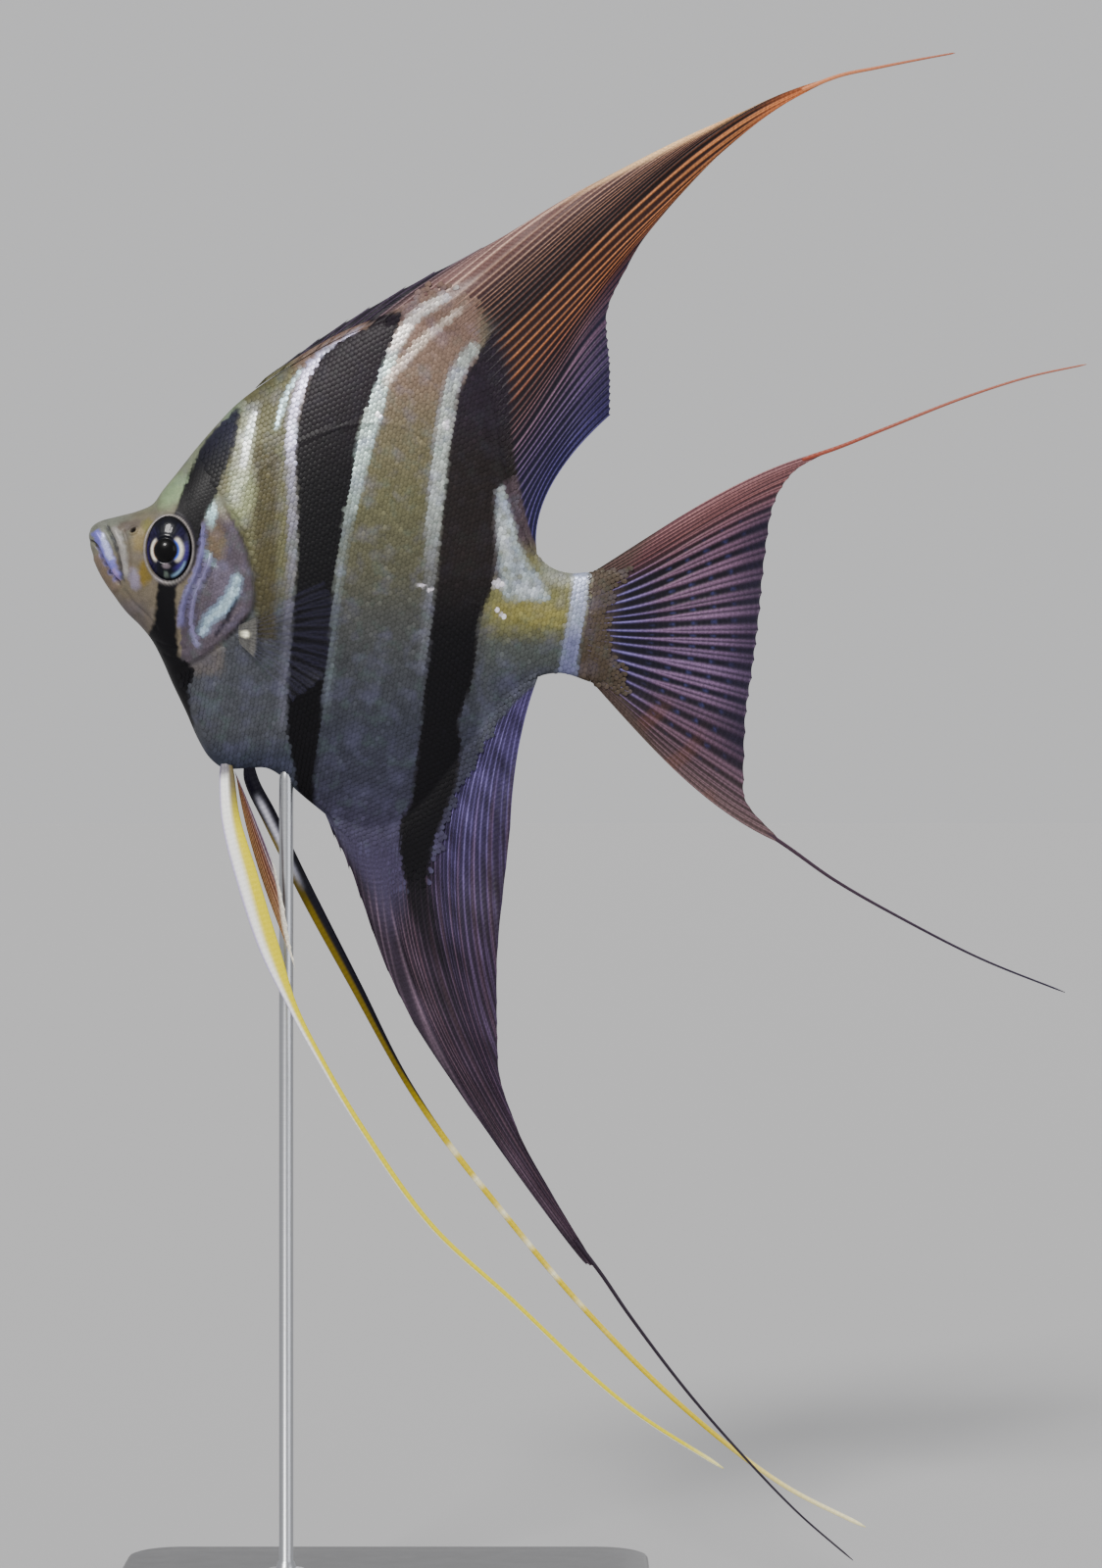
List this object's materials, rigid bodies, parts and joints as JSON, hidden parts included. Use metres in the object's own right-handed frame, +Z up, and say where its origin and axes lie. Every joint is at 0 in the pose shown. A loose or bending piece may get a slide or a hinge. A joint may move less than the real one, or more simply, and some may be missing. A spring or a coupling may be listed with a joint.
{
  "type": "freshwater angelfish museum model",
  "caption": "Life-size altum angelfish with tall fins and long trailing threads, held on a plain flat stand by one thin rod.",
  "frame": {"origin": "on the floor, under the middle of the whole model's box; the stand's underside is at z = 0", "axes": "+X from the fish's snout to its tail, +Y to the fish's right, +Z up; the fish faces -X"},
  "size_m": [0.224, 0.08, 0.3486],
  "materials": {
    "skin": "satin, scaled, silver and olive with black upright bars",
    "eye": "wet gloss",
    "fin": "satin, rayed",
    "clear_fin": "clear, finely rayed",
    "pelvic": "satin, white at the root and yellow in the threads",
    "stand_base": "satin black acrylic",
    "stand_rod": "fine brushed"
  },
  "bodies": {
    "root": {"head": "skin", "jaw_upper": "skin", "jaw_lower": "skin", "gill_cover_left": "skin", "gill_cover_right": "skin", "trunk_front": "skin", "trunk_rear": "skin", "tail_stalk": "skin", "eye_left": "eye", "eye_right": "eye", "dorsal_fin_front": "fin", "dorsal_fin_middle": "fin", "dorsal_fin_rear": "fin", "dorsal_filament": "fin", "anal_fin_front": "fin", "anal_fin_middle": "fin", "anal_fin_rear": "fin", "anal_filament": "fin", "tail_fin_upper": "fin", "tail_fin_middle": "fin", "tail_fin_lower": "fin", "tail_filament_upper": "fin", "tail_filament_lower": "fin", "pectoral_left": "clear_fin", "pectoral_right": "clear_fin", "pelvic_left": "pelvic", "pelvic_left_rays": "pelvic", "pelvic_left_thread_1": "pelvic", "pelvic_left_thread_2": "pelvic", "pelvic_left_thread_3": "pelvic", "pelvic_right": "pelvic", "pelvic_right_thread_1": "pelvic", "pelvic_right_thread_2": "pelvic", "pelvic_right_thread_3": "pelvic", "stand_base": "stand_base", "stand_rod": "stand_rod"}
  },
  "joints": []
}
